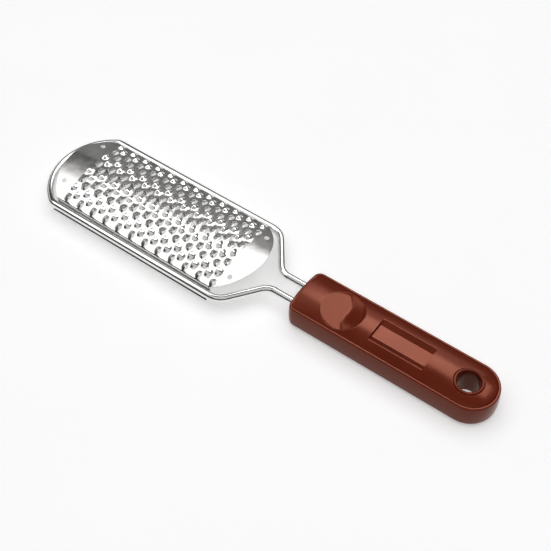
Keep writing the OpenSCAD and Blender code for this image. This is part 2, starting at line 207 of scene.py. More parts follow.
class HandleSettings(bpy.types.PropertyGroup):
    """Sizes of the two shells of the handle."""

    corner_radius: length("Corner radius", "Radius of the front corners seen from above", 0.004)
    bow_radius: length("Bow radius", "Radius of the bowed front seen from above", 0.076)
    foot_inset: length("Foot inset", "How far the side stands in above the lower edge", 0.0002)
    foot_radius: length("Foot radius", "Radius of the lower edge", 0.0035)
    widest_height: length("Widest height", "Height of the widest place", 0.008)
    rim_inset: length("Rim inset", "How far the side stands in at the rim", 0.00035)
    rim_height: length("Rim height", "Height of the rim", 0.0139)
    rim_edge: length("Rim edge", "Radius of the rim's outer edge", 0.00055)
    rim_lip: length("Rim lip", "Width of the rim outside the cover", 0.0012)
    ledge: length("Ledge", "Width of the ledge that carries the cover", 0.001)
    ledge_height: length("Ledge height", "Height of the ledge", 0.01218)
    floor: length("Floor", "Thickness of the floor", 0.002)
    cover_edge: length("Cover edge", "Radius of the cover's outer edge", 0.00045)
    cover_thickness: length("Cover thickness", "Thickness of the cover", 0.0018)
    cover_top: length("Cover top", "Height of the crown's middle", 0.0154)
    cover_crown: length("Cover crown", "Radius of the cover's crown", 0.0464)
    thumb_place: length("Thumb place", "Middle of the thumb recess", lower_low.x + 0.0237)
    thumb_radius: length("Thumb radius", "Radius of the thumb recess", 0.0108)
    thumb_depth: length("Thumb depth", "Depth of the recess at its lowest line", 0.0025)
    thumb_step: length("Thumb step", "Height of the step at its handle end", 0.0008)
    thumb_wall: length("Thumb wall", "Width of the wall around the recess", 0.0009)
    thumb_valley: length("Thumb valley", "From the middle of the recess to its lowest line", 0.0021)
    label_start: length("Label start", "Where the flat recess starts", lower_low.x + 0.0417)
    label_length: length("Label length", "Length of the flat recess", 0.0286)
    label_floor: length("Label floor", "Width of its floor", 0.008)
    label_mouth: length("Label mouth", "Width of its slopes at the crown's top", 0.0154)
    label_depth: length("Label depth", "Depth below the crown's top", 0.0016)
    label_end: length("Label end", "Length of the steep wall at each end", 0.0002)
    hang_radius: length("Hang hole radius", "Radius of the hang hole", 0.00535)
    hang_inset: length("Hang hole inset", "From the hole's middle to the end of the handle", 0.0148)
    ring_width: length("Ring width", "Width of the raised ring", 0.0018)
    ring_height: length("Ring height", "Height of the top of the ring", 0.0157)
    ring_edge: length("Ring edge", "Radius of the ring's edge around the hole", 0.001)
    hole_edge: length("Hole edge", "Radius of the hole's lower edge", 0.0004)
    plastic: colour("Plastic", "Colour of the moulded plastic", (0.155, 0.019, 0.007))


class StudioSettings(bpy.types.PropertyGroup):
    """The camera, lamps and floor."""

    camera_azimuth: angle("Camera azimuth", "Angle of the camera around the part", 35.93)
    camera_height: angle("Camera height", "Angle of the camera above the floor", 52.1)
    camera_distance: length("Camera distance", "From the camera to its target", 0.5395)
    target_x: length("Target X", "Where the camera looks, along the part", 0.00324)
    target_y: length("Target Y", "Where the camera looks, across the part", 0.00745)
    lens: share("Lens", "Focal length in millimetres", 72.09)
    floor_size: length("Floor size", "Length of the floor's side", 60)
    strip_light: share("Strip light", "Brightness of the long lamp that the plate mirrors", 1.7)
    window_light: share("Window light", "Brightness of the small lamp that the handle mirrors", 5.4)
    panel_light: share("Panel light", "Brightness of the pale panel that the teeth mirror", 0.6)
    card_light: share("Card light", "Brightness of the grey card that the plate's far half mirrors", 0.14)
    side_light: share("Side card light", "Brightness of the two cards that the teeth's slopes mirror", 0.6)
    soft_light: share("Soft light", "Brightness of the broad lamp above, which gives the plain light", 1.38)
    sky: share("Sky", "Brightness of the surroundings", 0.04)
    paper: colour("Paper", "Colour of the floor", (0.9, 0.9, 0.9))
    paper_boost: share("Paper boost", "What the floor adds to itself where it is seen or mirrored", 0.35)
    far_boost: share("Far boost", "What the floor adds to itself past the reach of the lamps", 0.9)
    lit_radius: length("Lit radius", "Distance at which the lamps begin to fail", 0.7)
    dark_radius: length("Dark radius", "Distance at which the lamps no longer reach the floor", 3)


# Shared mesh helpers


def arc(centre_x, centre_y, radius, start, sweep, steps):
    """Points on an arc in a plane, both ends with it."""
    turns = [start + sweep * i / steps for i in range(steps + 1)]
    return [(centre_x + radius * math.cos(a), centre_y + radius * math.sin(a)) for a in turns]


def even(start, end, step):
    """Even values from start to end, both with it, no further apart than step."""
    count = max(1, math.ceil(abs(end - start) / step - WELD))
    return [start + (end - start) * i / count for i in range(count + 1)]


def raised(ring, height, shift=0):
    """Plan points at one height, or at the height that a function gives there, with a shift."""
    return [(x, y, (height(x, y) if callable(height) else height) + shift) for x, y in ring]


def triangulate(points, edges):
    """Places and triangles of a mesh that keeps to the edges, and the numbers of the points at each place."""
    result = delaunay_2d_cdt([Vector(p) for p in points], edges, [], 0, WELD / 100)
    return result[0], result[2], result[3]


class Skin:
    """Places and faces of a piece that is put together from walls and flat fills."""

    def __init__(self):
        self.places = []
        self.faces = []

    def loft(self, rings):
        """Walls between closed rings of equal count."""
        count = len(rings[0])
        for ring in rings[:-1]:
            low = len(self.places)
            high = low + count
            self.places += ring
            for i in range(count):
                j = (i + 1) % count
                self.faces.append((low + i, low + j, high + j, high + i))
        self.places += rings[-1]

    def fill(self, outer, inner, inside, up, height, shift=0):
        """A face between two rings, with more points inside, that looks up or down."""
        points = [p[:2] for p in outer + inner] + inside
        edges = []
        for ring, start in ((outer, 0), (inner, len(outer))):
            edges += [(start + i, start + (i + 1) % len(ring)) for i in range(len(ring))]
        _, faces, origins = triangulate(points, edges)
        hole = range(len(outer), len(outer) + len(inner))
        start = len(self.places)
        for face in faces:
            numbers = [origins[v][0] for v in face]
            if not all(v in hole for v in numbers):
                self.faces.append([start + v for v in (numbers if up else reversed(numbers))])
        self.places += raised(points, height, shift)


def make_piece(name, skin, material, weld=False):
    """A smooth shaded mesh object with sharp creases."""
    mesh = bpy.data.meshes.new(name)
    mesh.from_pydata(skin.places, [], skin.faces)
    mesh.validate()
    mesh.materials.append(material)
    finish_mesh(mesh, weld)
    piece = bpy.data.objects.new(name, mesh)
    bpy.context.scene.collection.objects.link(piece)
    return piece


def finish_mesh(mesh, weld=False):
    """Smooths the faces and marks the creases. A weld first joins points and turns every face outwards."""
    build = bmesh.new()
    build.from_mesh(mesh)
    if weld:
        bmesh.ops.remove_doubles(build, verts=build.verts, dist=WELD)
        bmesh.ops.recalc_face_normals(build, faces=build.faces)
    for face in build.faces:
        face.smooth = True
    for edge in build.edges:
        edge.smooth = edge.calc_face_angle(0) < CREASE
    build.to_mesh(mesh)
    build.free()


def settle_modifiers(piece):
    """Keeps what the piece's modifiers make as its own mesh."""
    graph = bpy.context.evaluated_depsgraph_get()
    mesh = bpy.data.meshes.new_from_object(piece.evaluated_get(graph))
    piece.modifiers.clear()
    piece.data = mesh
    finish_mesh(mesh)


def dress(piece, node):
    """The piece stands for a node of the frame: it joins the body, and that node is hidden."""
    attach(piece, BODY)
    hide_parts(node)


# Shader groups and materials


def set_inputs(tree, node, values):
    """Gives each named input of a node its value, or links it where the value is a socket."""
    for name, value in values.items():
        if isinstance(value, bpy.types.NodeSocket):
            tree.links.new(value, node.inputs[name])
        else:
            node.inputs[name].default_value = value


def add_node(tree, kind, values=None, **options):
    """A shader node with its options and inputs."""
    node = tree.nodes.new("ShaderNode" + kind)
    for option, value in options.items():
        setattr(node, option, value)
    set_inputs(tree, node, values or {})
    return node


def calculate(tree, operation, first, second):
    return add_node(tree, "Math", {0: first, 1: second}, operation=operation).outputs["Value"]


def new_group(name, inputs, output):
    """A shader group, the sockets that it is given, and the node that takes its one output."""
    tree = bpy.data.node_groups.new(name, "ShaderNodeTree")
    for socket, default in inputs.items():
        entry = tree.interface.new_socket(name=socket, in_out="INPUT", socket_type="NodeSocketFloat")
        entry.default_value = default
    tree.interface.new_socket(name=output, in_out="OUTPUT", socket_type="NodeSocketFloat")
    return tree, tree.nodes.new("NodeGroupInput").outputs, tree.nodes.new("NodeGroupOutput")


def mottle_group(name):
    """Soft cloudy variation between two values, the same on every side of a piece."""
    tree, given, leave = new_group(name, {"Scale": 60, "Low": 0, "High": 1}, "Value")
    place = add_node(tree, "TexCoord").outputs["Object"]
    noise = add_node(tree, "TexNoise", {"Vector": place, "Scale": given["Scale"], "Detail": 3}).outputs["Fac"]
    # The noise seldom leaves the middle part of its range
    usual = {"From Min": 0.3, "From Max": 0.7}
    spread = {"Value": noise, **usual, "To Min": given["Low"], "To Max": given["High"]}
    set_inputs(tree, leave, {"Value": add_node(tree, "MapRange", spread).outputs["Result"]})
    return tree


def hairline_group(name):
    """Fine lines along X, as rolling and wiping leave them."""
    tree, given, leave = new_group(name, {"Scale": 900, "Stretch": 0.03}, "Height")
    place = add_node(tree, "TexCoord").outputs["Object"]
    split = add_node(tree, "SeparateXYZ", {"Vector": place}).outputs
    along = calculate(tree, "MULTIPLY", split["X"], given["Stretch"])
    join = add_node(tree, "CombineXYZ", {"X": along, "Y": split["Y"], "Z": split["Z"]}).outputs["Vector"]
    noise = add_node(tree, "TexNoise", {"Vector": join, "Scale": given["Scale"], "Detail": 2})
    set_inputs(tree, leave, {"Height": noise.outputs["Fac"]})
    return tree


def add_group(tree, name, make, values):
    """The result of a shader group, which is made the first time and shared after that."""
    shared = bpy.data.node_groups.get(name) or make(name)
    return add_node(tree, "Group", values, node_tree=shared).outputs[0]


def mottle(tree, scale, low=0, high=1):
    return add_group(tree, "soft_mottle", mottle_group, {"Scale": scale, "Low": low, "High": high})


def tinted(tree, scale, base, spread):
    """The base colour in soft clouds, darker and lighter by the share in spread."""
    darker, lighter = ([min(1, c * (1 + change)) for c in base] + [1] for change in (-spread, spread))
    values = {"Factor": mottle(tree, scale), "A": darker, "B": lighter}
    return add_node(tree, "Mix", values, data_type="RGBA").outputs["Result"]


def add_bump(tree, height, distance, under=None):
    """The normal of a bump. Another bump may lie under it."""
    values = {"Height": height, "Strength": 1, "Distance": distance}
    if under:
        values["Normal"] = under
    return add_node(tree, "Bump", values).outputs["Normal"]


def new_material(name):
    """An empty material, its node tree and its shader."""
    material = bpy.data.materials.new(name)
    material.use_nodes = True
    return material, material.node_tree, material.node_tree.nodes["Principled BSDF"]


def metal_material(name, base, gloss, wave, wave_scale, hair):
    """Bright metal: cloudy roughness, slight waves of the surface and fine lines along X."""
    material, tree, shader = new_material(name)
    lines = add_group(tree, "hairlines", hairline_group, {"Scale": 1400, "Stretch": 0.04})
    wavy = add_bump(tree, mottle(tree, wave_scale), wave)
    values = {
        "Metallic": 1,
        "Base Color": tinted(tree, 90, base, spread=0.04),
        "Roughness": mottle(tree, 240, *gloss),
        "Normal": add_bump(tree, lines, hair, wavy),
    }
    set_inputs(tree, shader, values)
    return material


def plastic_material(settings):
    """Moulded plastic of both shells: a cloudy colour, a satin gloss, slight sink marks and a fine grain."""
    found = bpy.data.materials.get("moulded_plastic")
    if found:
        return found
    material, tree, shader = new_material("moulded_plastic")
    sink = add_bump(tree, mottle(tree, scale=110), distance=0.000006)
    values = {
        "Base Color": tinted(tree, 70, settings.plastic, spread=0.08),
        "Roughness": mottle(tree, scale=300, low=0.15, high=0.2),
        "Metallic": 0.15,
        "IOR": 1.33,
        "Specular Tint": (1, 0.72, 0.52, 1),
        "Normal": add_bump(tree, mottle(tree, scale=1500), distance=0.000002, under=sink),
    }
    set_inputs(tree, shader, values)
    return material


# The wire


def wire_half_path(wire, side_y):
    """Centre line of half of the wire in plan, from the middle of the tip to the end of its tang."""
    turn = wire.shoulder_turn
    tip_x = wire_low.x + wire.rod_radius + wire.tip_radius
    corner_y = side_y - wire.corner_radius
    corner_x = tip_x - math.sqrt((wire.tip_radius - wire.corner_radius) ** 2 - corner_y**2)
    corner_angle = math.atan2(corner_y, corner_x - tip_x)
    tang_y = wire.tang_spacing / 2
    shoulder_x = wire.shoulder_place - wire.shoulder_radius * math.tan(turn / 2)
    neck_x = wire.shoulder_place + (side_y - tang_y) / math.tan(turn) + wire.neck_radius * math.tan(turn / 2)
    # Each bend: its middle, its radius, the angle where it starts and the angle that it runs through
    bends = [
        (tip_x, 0, wire.tip_radius, math.pi, corner_angle - math.pi),
        (corner_x, corner_y, wire.corner_radius, corner_angle, QUARTER_TURN - corner_angle),
        (shoulder_x, side_y - wire.shoulder_radius, wire.shoulder_radius, QUARTER_TURN, -turn),
        (neck_x, tang_y + wire.neck_radius, wire.neck_radius, -QUARTER_TURN - turn, turn),
    ]
    path = []
    for centre_x, centre_y, radius, start, sweep in bends:
        bend = arc(centre_x, centre_y, radius, start, sweep, math.ceil(abs(sweep) / BEND_STEP))
        add_run(path, bend[0], STRAIGHT_STEP)
        path += bend
    tang_end = (wire_high.x, tang_y)
    add_run(path, tang_end, STRAIGHT_STEP)
    return path + [tang_end]


def add_run(path, goal, step):
    """Points of a straight run from the end of the path towards the goal, without the goal."""
    if not path:
        return
    start = Vector(path[-1])
    run = Vector(goal) - start
    if run.length < step:
        return
    path += [tuple(start + run * part) for part in even(0, 1, step / run.length)[1:-1]]


def sweep_rod(path, height, radius, sides):
    """A round rod around a path in plan, with a flat cap at each end."""
    rings = []
    for i, point in enumerate(path):
        ahead = Vector(path[min(i + 1, len(path) - 1)]) - Vector(path[max(i - 1, 0)])
        ahead.normalize()
        across = Vector((-ahead.y, ahead.x, 0))
        middle = Vector((*point, height))
        circle = arc(0, 0, radius, 0, FULL_TURN, sides)[:-1]
        rings.append([middle + across * out + Vector((0, 0, rise)) for out, rise in circle])
    rod = Skin()
    rod.loft(rings)
    rod.faces.append(range(sides - 1, -1, -1))
    rod.faces.append(range(len(rod.places) - sides, len(rod.places)))
    rod.faces = [tuple(reversed(face)) for face in rod.faces]
    return rod


class FOOTFILE_OT_wire_loop(bpy.types.Operator):
    """Bends the wire that frames the head and runs into the handle"""

    bl_idname = "foot_file.wire_loop"
    bl_label = "Wire Loop"

    def execute(self, context):
        wire = context.scene.foot_file_wire
        half = wire_half_path(wire, wire_high.y - wire.rod_radius)
        path = [(x, -y) for x, y in reversed(half[1:])] + half
        rod = sweep_rod(path, ROD_HEIGHT, wire.rod_radius, ROD_SIDES)
        piece = make_piece("wire_loop", rod, metal_material("bright_plating", wire.metal, **PLATING))
        dress(piece, "wire_frame")
        return {"FINISHED"}


# The rasp plate


def around(y, z, reach, turn):
    """A place at a reach from (y, z), turned down from the vertical."""
    return y + reach * math.sin(turn), z + reach * math.cos(turn)


class SheetSection:
    """Section of the plate across the head, on the face that is turned to the wire.

    A place on it is given by s, the distance along the bent sheet from the middle of the crown.
    """

    def __init__(self, plate, wire):
        rod_y = wire_high.y - wire.rod_radius
        self.crown_r = plate.crown_radius
        self.crown_z = plate.crown_top - plate.crown_radius
        self.hem_r = wire.rod_radius + plate.hem_gap
        self.rod_y = rod_y
        self.hem_z = ROD_HEIGHT - plate.hem_drop
        self.wall_y = rod_y - self.hem_r
        self.bend_r = plate.bend_radius
        self.bend_y = self.wall_y - self.bend_r
        reach = self.crown_r - self.bend_r
        self.crown_a = math.asin(self.bend_y / reach)
        self.bend_z = self.crown_z + reach * math.cos(self.crown_a)
        self.crown_end = self.crown_r * self.crown_a
        self.bend_end = self.crown_end + self.bend_r * (QUARTER_TURN - self.crown_a)
        self.wall_end = self.bend_end + self.bend_z - self.hem_z
        self.hem_end = self.wall_end + self.hem_r * plate.hem_wrap

    def place(self, s, height):
        """(y, z) at s, with a height above the sheet."""
        d = abs(s)
        if d <= self.crown_end:
            y, z = around(0, self.crown_z, self.crown_r + height, d / self.crown_r)
        elif d <= self.bend_end:
            turn = self.crown_a + (d - self.crown_end) / self.bend_r
            y, z = around(self.bend_y, self.bend_z, self.bend_r + height, turn)
        elif d <= self.wall_end:
            y, z = self.wall_y + height, self.bend_z - (d - self.bend_end)
        else:
            turn = QUARTER_TURN - (d - self.wall_end) / self.hem_r
            y, z = around(self.rod_y, self.hem_z, height - self.hem_r, turn)
        return math.copysign(y, s), z

    def rows(self, step):
        """Values of s from one hem's edge to the other, close together where the sheet bends."""
        half = even(0, self.crown_end, step)
        half += even(self.crown_end, self.bend_end, self.bend_r * BEND_FACET)[1:]
        half += even(self.bend_end, self.wall_end, step)[1:]
        half += even(self.wall_end, self.hem_end, self.hem_r * BEND_FACET)[1:]
        return [-s for s in reversed(half[1:])] + half


class PlateMesh:
    """The plate laid flat: points in (x, s), each with a height above the sheet, and triangles."""

    def __init__(self, plate, section):
        self.plate = plate
        self.section = section
        self.tip_x = plate_low.x + plate.tip_radius
        self.heel_x = plate_high.x - plate.heel_radius
        self.rows = section.rows(PLATE_STEP)
        self.ends = [self.edge_x(s) for s in self.rows]
        self.flat = []
        self.loops = []
        self.edges = []
        self.teeth = []

    def edge_x(self, s):
        """Where the plate starts and ends along X at s."""
        plate, section = self.plate, self.section
        y = section.place(min(abs(s), section.bend_end), 0)[0]
        start = self.tip_x - math.sqrt(plate.tip_radius**2 - y**2)
        end = self.heel_x + math.sqrt(plate.heel_radius**2 - y**2)
        down = min(1, max(0, (abs(s) - section.bend_end) / (section.wall_end - section.bend_end)))
        return start + (plate.hem_start - start) * down, end + (plate.hem_finish - end) * down

    def add_point(self, x, s, loop=None):
        """The number of a new point, and the closed line that it belongs to."""
        self.flat.append((x, s))
        self.loops.append(loop)
        return len(self.flat) - 1

    def add_loop(self, points, loop):
        """A closed line that the triangles keep to."""
        numbers = [self.add_point(x, s, loop) for x, s in points]
        for i, number in enumerate(numbers):
            self.edges.append((number, numbers[(i + 1) % len(numbers)]))
        return numbers

    def add_outline(self):
        heel = [(end, s) for (_, end), s in zip(self.ends, self.rows)]
        tip = [(start, s) for (start, _), s in zip(self.ends, self.rows)]
        side = even(tip[0][0], heel[0][0], PLATE_STEP)[1:-1]
        low_side = [(x, self.rows[0]) for x in side]
        high_side = [(x, self.rows[-1]) for x in reversed(side)]
        self.add_loop(low_side + heel + high_side + tip[::-1], None)

    def add_teeth(self):
        """Rows of teeth, two by two: mouths that open to the handle, with side 1, or to the tip, with -1."""
        plate = self.plate
        for row in range(plate.rows):
            short_row = row % 2
            side = 1 if row % 4 in (0, 3) else -1
            s = (row - (plate.rows - 1) / 2) * plate.row_pitch
            for i in range(plate.row_teeth - short_row):
                x = plate.first_tooth + (i + short_row / 2) * plate.tooth_pitch
                self.add_tooth(x + side * plate.mouth_shift, s, side)

    def add_tooth(self, mouth_x, s, side):
        """The hole of one tooth. The half dome that stands over most of it comes later."""
        plate = self.plate
        outline = []
        for u, v in arc(0, 0, 1, QUARTER_TURN, math.pi, TOOTH_STEPS):
            outline.append((mouth_x + side * plate.tooth_reach * u, s + plate.tooth_half * v))
        for k in range(1, LEAD_STEPS):
            across = -1 + 2 * k / LEAD_STEPS
            ahead = plate.mouth_lead * (1 - across**2)
            outline.append((mouth_x + side * ahead, s + across * plate.tooth_half))
        numbers = self.add_loop(outline, (mouth_x, s))
        self.teeth.append((mouth_x, s, side, numbers[: TOOTH_STEPS + 1]))

    def add_pilots(self):
        plate = self.plate
        s = self.section.crown_r * math.asin(plate.pilot_spacing / 2 / self.section.crown_r)
        for x in (plate.pilot_tip, plate.pilot_heel):
            for side in (-1, 1):
                circle = arc(x, side * s, plate.pilot_radius, 0, FULL_TURN, PILOT_SIDES)[:-1]
                self.add_loop(circle, (x, side * s))

    def clear_of_cuts(self, x, s):
        """Whether a point of the filling mesh keeps its distance from every tooth and hole."""
        plate = self.plate
        room = PLATE_STEP / 4
        for mouth_x, tooth_s, side, _ in self.teeth:
            u = (x - mouth_x) * side
            v = s - tooth_s
            if u <= 0 and math.hypot(u / (plate.tooth_reach + room), v / (plate.tooth_half + room)) < 1:
                return False
            if 0 < u < plate.mouth_lead + room and abs(v) < plate.tooth_half + room:
                return False
        for pilot_x in (plate.pilot_tip, plate.pilot_heel):
            if math.hypot(x - pilot_x, abs(s) - plate.pilot_spacing / 2) < plate.pilot_radius + 2 * room:
                return False
        return True

    def fill(self):
        """Points of the filling mesh, in rows along the head."""
        plate = self.plate
        room = PLATE_STEP / 3
        columns = even(plate_low.x, plate_high.x, PLATE_STEP)
        for s, (start, end) in list(zip(self.rows, self.ends))[1:-1]:
            for x in columns:
                if start + room < x < end - room and self.clear_of_cuts(x, s):
                    self.add_point(x, s)

    def triangles(self):
        """Triangles of the whole sheet without its holes, and the new number of each point."""
        points, faces, origins = triangulate(self.flat, self.edges)
        renumber = {}
        loop_of = []
        for number, sources in enumerate(origins):
            loop_of.append(self.loops[sources[0]] if sources else None)
            for source in sources:
                renumber[source] = number
        kept = []
        for face in faces:
            loops = {loop_of[v] for v in face}
            x, s = sum((points[v] for v in face), Vector((0, 0))) / 3
            start, end = self.straight_edges(s)
            if start < x < end and (len(loops) > 1 or None in loops):
                kept.append(list(face))
        return points, kept, renumber

    def straight_edges(self, s):
        """Start and end of the sheet at s, on straight lines between the outline's points."""
        i = min(bisect.bisect(self.rows, s), len(self.rows) - 1)
        part = (s - self.rows[i - 1]) / (self.rows[i] - self.rows[i - 1])
        return [low + (high - low) * part for low, high in zip(self.ends[i - 1], self.ends[i])]

    def build(self):
        """The skin, and the share of the thickness at each of its places."""
        self.add_outline()
        self.add_teeth()
        self.add_pilots()
        self.fill()
        points, faces, renumber = self.triangles()
        flat = [(p.x, p.y, 0) for p in points]
        thick = [1.0] * len(flat)
        for mouth_x, s, side, back in self.teeth:
            self.add_dome(flat, thick, faces, mouth_x, s, side, [renumber[n] for n in back])
        skin = Skin()
        skin.places = [(x, *self.section.place(s, height)) for x, s, height in flat]
        skin.faces = [upright(face, flat) for face in faces]
        return skin, thick

    def add_dome(self, flat, thick, faces, mouth_x, s, side, ring):
        """Rings from the sheet to the middle of the lip, each a smaller half ellipse."""
        plate = self.plate
        for level in range(1, DOME_RINGS):
            reach = 1 - level / DOME_RINGS
            height = plate.tooth_height * (1 - reach**2) ** DOME_POWER
            start = len(flat)
            for u, v in arc(0, 0, reach, QUARTER_TURN, math.pi, TOOTH_STEPS):
                flat.append((mouth_x + side * plate.tooth_reach * u, s + plate.tooth_half * v, height))
                # The sheet thins out towards the lip
                thick.append(1 + (plate.lip_share - 1) * (1 + u) * (1 - reach**LIP_POWER))
            inner = range(start, len(flat))
            faces += [[ring[k], ring[k + 1], inner[k + 1], inner[k]] for k in range(TOOTH_STEPS)]
            ring = inner
        flat.append((mouth_x, s, plate.tooth_height))
        thick.append(plate.lip_share)
        faces += [[ring[k], ring[k + 1], len(flat) - 1] for k in range(TOOTH_STEPS)]


def upright(face, flat):
    """The face with its points counted so that it looks up from the sheet."""
    area = 0
    for i, number in enumerate(face):
        x0, s0 = flat[number][:2]
        x1, s1 = flat[face[(i + 1) % len(face)]][:2]
        area += x0 * s1 - x1 * s0
    return face if area > 0 else list(reversed(face))


class FOOTFILE_OT_rasp_sheet(bpy.types.Operator):
    """Presses the crowned sheet with its punched teeth and rolls its hems around the wire"""

    bl_idname = "foot_file.rasp_sheet"
    bl_label = "Rasp Sheet"

    def execute(self, context):
        plate = context.scene.foot_file_plate
        section = SheetSection(plate, context.scene.foot_file_wire)
        skin, thick = PlateMesh(plate, section).build()
        piece = make_piece("rasp_sheet", skin, metal_material("rolled_sheet", plate.metal, **SHEET))
        group = piece.vertex_groups.new(name="thickness")
        for number, weight in enumerate(thick):
            group.add([number], weight, "REPLACE")
        solid = piece.modifiers.new("sheet", "SOLIDIFY")
        solid.thickness = plate.thickness
        solid.offset = -1
        solid.vertex_group = group.name
        settle_modifiers(piece)
        dress(piece, "rasp_plate")
        return {"FINISHED"}


# The handle


class HandlePlan:
    """Outline of the handle seen from above: a round end, two corners and a bowed front."""

    def __init__(self, handle):
        self.half = lower_high.y
        self.front_x = lower_low.x
        self.rear_x = lower_high.x - self.half
        self.bow_r = handle.bow_radius
        self.corner_r = handle.corner_radius
        self.corner_y = self.half - self.corner_r
        self.bow_x = self.front_x + self.bow_r
        self.corner_x = self.bow_x - math.sqrt((self.bow_r - self.corner_r) ** 2 - self.corner_y**2)
        self.bow_a = math.atan2(self.corner_y, self.corner_x - self.bow_x)

    def ring(self, inset):
        """Points around the outline, set in by the same distance all round."""
        half = self.half - inset
        # A corner stays a little round where the inset is wider than its radius
        corner = max(self.corner_r - inset, self.corner_r / 8)
        points = arc(self.rear_x, 0, half, 0, QUARTER_TURN, END_STEPS)
        points += [(x, half) for x in even(self.rear_x, self.corner_x, SIDE_STEP)[1:-1]]
        turn = self.bow_a - QUARTER_TURN
        points += arc(self.corner_x, self.corner_y, corner, QUARTER_TURN, turn, CORNER_STEPS)
        points += arc(self.bow_x, 0, self.bow_r - inset, self.bow_a, math.pi - self.bow_a, BOW_STEPS)[1:]
        return points + [(x, -y) for x, y in reversed(points[1:-1])]

    def holds(self, x, y, inset):
        """Whether a point lies inside the outline set in by that distance."""
        half = self.half - inset
        if abs(y) >= half:
            return False
        if x > self.rear_x:
            return math.hypot(x - self.rear_x, y) < half
        if x < self.corner_x and abs(y) > self.corner_y:
            return math.hypot(x - self.corner_x, abs(y) - self.corner_y) < self.corner_r - inset
        return x > self.bow_x - math.sqrt((self.bow_r - inset) ** 2 - y * y)


def smooth_step(low, high, value):
    """0 below low, 1 above high, and a smooth rise between."""
    part = min(1, max(0, (value - low) / (high - low)))
    return part * part * (3 - 2 * part)


class CoverShape:
    """The cover's outline, its hole and the height of its top at any place."""

    def __init__(self, handle):
        self.handle = handle
        self.plan = HandlePlan(handle)
        self.crown_z = handle.cover_top - handle.cover_crown
        self.label_mid = handle.label_start + handle.label_length / 2
        self.label_slope = handle.label_depth / ((handle.label_mouth - handle.label_floor) / 2)
        self.hang_x = lower_high.x - handle.hang_inset

    def hole_circle(self, radius):
        return arc(self.hang_x, 0, radius, 0, FULL_TURN, HOLE_SIDES)[:-1]

    def crown(self, x, y):
        past = max(0, x - self.plan.rear_x)
        return self.crown_z + math.sqrt(self.handle.cover_crown**2 - y * y - past * past)

    def thumb_valley(self, y):
        """How far the lowest line lies behind the middle of the recess: it swings back on the near side."""
        part = y / self.handle.thumb_radius
        swing = VALLEY_SWING_NEAR if y < 0 else VALLEY_SWING_FAR
        return self.handle.thumb_valley * (1 + VALLEY_LEAN * part - VALLEY_BOW * part**2 - swing * part**3)

    def thumb_floor(self, x, y):
        """A flat front slope and a rear slope that meet at the lowest line, with a rounded valley."""
        handle = self.handle
        fall = handle.thumb_depth / (handle.thumb_radius + handle.thumb_valley)
        rise = (handle.thumb_depth - handle.thumb_step) / (handle.thumb_radius - handle.thumb_valley)
        past = x - handle.thumb_place
        ahead = handle.cover_top - (past + handle.thumb_radius) * fall
        above = (past - self.thumb_valley(y)) * (fall + rise)
        return ahead + (above + math.sqrt(above * above + THUMB_BLEND**2)) / 2

    def label_floor(self, x, y):
        """The flat floor, the slopes beside it and the steep walls at its ends."""
        handle = self.handle
        side = max(0, abs(y) - handle.label_floor / 2) * self.label_slope
        past = abs(x - self.label_mid) - handle.label_length / 2 + handle.label_end
        end = max(0, past) * handle.label_depth / handle.label_end
        return handle.cover_top - handle.label_depth + max(side, end)

    def top(self, x, y):
        handle = self.handle
        height = self.crown(x, y)
        away = math.hypot(x - handle.thumb_place, y)
        inside = 1 - smooth_step(handle.thumb_radius - handle.thumb_wall, handle.thumb_radius, away)
        if inside > 0:
            height += inside * min(0, self.thumb_floor(x, y) - height)
        return min(height, self.label_floor(x, y))


def tray_profile(handle):
    """Inset and height of each ring of the lower shell, from its underside round to its floor."""
    foot = handle.foot_radius
    profile = rounded(handle.foot_inset + foot, foot, foot, -QUARTER_TURN, FOOT_STEPS)
    low = (handle.foot_inset, foot)
    high = (handle.rim_inset, handle.rim_height - handle.rim_edge)
    for i in range(1, WALL_STEPS):
        z = low[1] + (high[1] - low[1]) * i / WALL_STEPS
        profile.append((bowed_inset(z, low, (0, handle.widest_height), high), z))
    profile += rounded(high[0] + handle.rim_edge, high[1], handle.rim_edge, 0, RIM_STEPS)
    pocket = handle.rim_inset + handle.rim_lip
    inner_z = handle.rim_height - RIM_INNER_EDGE
    profile += rounded(pocket - RIM_INNER_EDGE, inner_z, RIM_INNER_EDGE, QUARTER_TURN, RIM_INNER_STEPS)
    ledge = pocket + handle.ledge
    return profile + [(pocket, handle.ledge_height), (ledge, handle.ledge_height), (ledge, handle.floor)]


def rounded(inset, z, radius, start, steps):
    """Inset and height of places on a quarter turn around (inset, z)."""
    return [(inset - out, z + rise) for out, rise in arc(0, 0, radius, start, QUARTER_TURN, steps)]


def bowed_inset(z, low, middle, high):
    """Inset on the smooth curve through three (inset, height) places."""
    total = 0
    # Lagrange's formula
    for here, one, other in ((low, middle, high), (middle, low, high), (high, low, middle)):
        total += here[0] * (z - one[1]) * (z - other[1]) / ((here[1] - one[1]) * (here[1] - other[1]))
    return total


def hole_rings(handle, shape):
    """Rings of the hang hole's tube: up its outside, over the raised ring and down the hole."""
    outer_r = handle.hang_radius + handle.ring_width
    crest_r = handle.hang_radius + handle.ring_edge
    rings = [raised(shape.hole_circle(outer_r), handle.floor)]
    for i in range(CREST_STEPS + 1):
        part = i / CREST_STEPS
        swell = math.sin(QUARTER_TURN * part)
        circle = shape.hole_circle(outer_r + (crest_r - outer_r) * part)
        lift = handle.ring_height * swell
        rings.append([(x, y, shape.crown(x, y) * (1 - swell) + lift) for x, y in circle])
    edge_z = handle.ring_height - handle.ring_edge
    inner = arc(crest_r, edge_z, handle.ring_edge, QUARTER_TURN, QUARTER_TURN, CREST_STEPS)[1:]
    edge = handle.hole_edge
    inner += arc(handle.hang_radius + edge, edge, edge, math.pi, QUARTER_TURN, EDGE_STEPS)
    return rings + [raised(shape.hole_circle(r), z) for r, z in inner]


